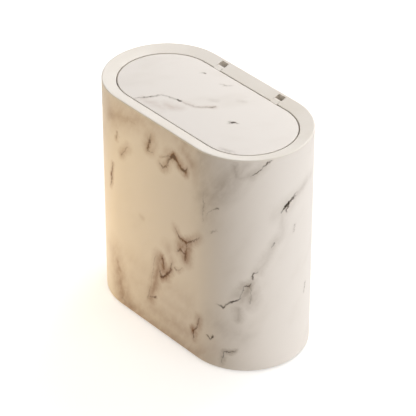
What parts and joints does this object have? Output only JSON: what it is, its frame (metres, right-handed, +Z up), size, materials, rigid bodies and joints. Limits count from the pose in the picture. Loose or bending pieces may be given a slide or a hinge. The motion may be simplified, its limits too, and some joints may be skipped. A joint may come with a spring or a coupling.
{
  "type": "kitchen trash can",
  "caption": "Slim obround kitchen trash can with a marble-look body, a lift-off cream rim and a flush press-to-open lid that swings up on hidden hinges.",
  "frame": {"origin": "middle of the base, on the floor that the rubber feet stand on", "axes": "+Z up, +X along the long side, +Y towards the hinges, so the lid opens at its -Y edge"},
  "size_m": [0.29, 0.15, 0.29],
  "materials": {
    "marble_plastic": "satin moulding with a printed marble film",
    "cream_plastic": "fine satin cream moulding",
    "foot_rubber": "matte",
    "bright_steel": "bright zinc",
    "spring_steel": "drawn wire",
    "latch_plastic": "natural moulding"
  },
  "bodies": {
    "base": {"body_shell": "marble_plastic", "foot_pad_1": "foot_rubber", "foot_pad_2": "foot_rubber", "foot_pad_3": "foot_rubber", "foot_pad_4": "foot_rubber"},
    "rim": {"rim_collar": "cream_plastic", "hinge_pin_left": "bright_steel", "hinge_pin_right": "bright_steel", "hinge_spring_left": "spring_steel", "hinge_spring_right": "spring_steel", "hinge_cover_left": "cream_plastic", "hinge_cover_right": "cream_plastic", "hinge_cover_screws": "bright_steel", "latch_housing": "latch_plastic", "latch_spring": "spring_steel", "latch_cam_wire": "spring_steel", "latch_screws": "bright_steel"},
    "lid": {"lid_frame": "cream_plastic", "lid_panel": "marble_plastic", "lid_striker": "latch_plastic", "striker_screws": "bright_steel"},
    "plunger": {"latch_plunger": "latch_plastic"}
  },
  "joints": [
    {"name": "rim_lift", "type": "slide", "parent": "base", "child": "rim", "axis": [0, 0, 1], "range_m": [0, 0.06]},
    {"name": "lid_hinge", "type": "hinge", "parent": "rim", "child": "lid", "pos_m": [0, 0.0632, 0.2831], "axis": [-1, 0, 0], "range_deg": [0, 95], "deforming": ["hinge_spring_left", "hinge_spring_right"]},
    {"name": "latch_plunge", "type": "slide", "parent": "rim", "child": "plunger", "axis": [0, 0, 1], "range_m": [0, 0.006], "deforming": ["latch_spring", "latch_cam_wire"]}
  ],
  "couplings": [
    {"joint": "latch_plunge", "follows": "lid_hinge", "m_per_rad": 0.0036}
  ]
}
